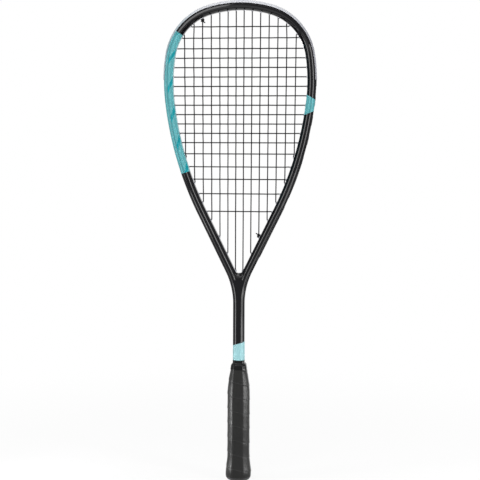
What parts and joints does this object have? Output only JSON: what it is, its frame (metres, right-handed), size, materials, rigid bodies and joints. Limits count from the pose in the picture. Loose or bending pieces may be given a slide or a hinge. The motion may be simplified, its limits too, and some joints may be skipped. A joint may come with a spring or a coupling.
{
  "type": "squash racket",
  "caption": "Squash racket with a teardrop graphite frame, open throat, black woven string bed, pale bumper guard and a spirally wrapped black grip.",
  "frame": {"origin": "centre of the butt cap's flat end", "axes": "+Z along the shaft from the butt to the crown, +X across the face to the right as seen from the front, +Y through the face towards the rear"},
  "size_m": [0.2168, 0.0338, 0.686],
  "materials": {
    "frame_lacquer": "gloss lacquer on graphite composite",
    "guard_nylon": "satin moulded nylon",
    "string": "satin coated nylon",
    "foam": "matt rigid foam",
    "cap": "satin moulded plastic",
    "wire": "bright drawn wire",
    "grip": "matt tacky polyurethane",
    "tape": "gloss vinyl"
  },
  "bodies": {
    "root": {"frame": "frame_lacquer", "bumper_guard": "guard_nylon", "left_grommet_strip": "guard_nylon", "right_grommet_strip": "guard_nylon", "throat_grommet": "guard_nylon", "main_string": "string", "cross_string": "string", "handle_pallet": "foam", "butt_cap": "cap", "butt_cap_staples": "wire", "grip_start_staple": "wire", "grip_tape": "grip", "finishing_tape": "tape"}
  },
  "joints": []
}
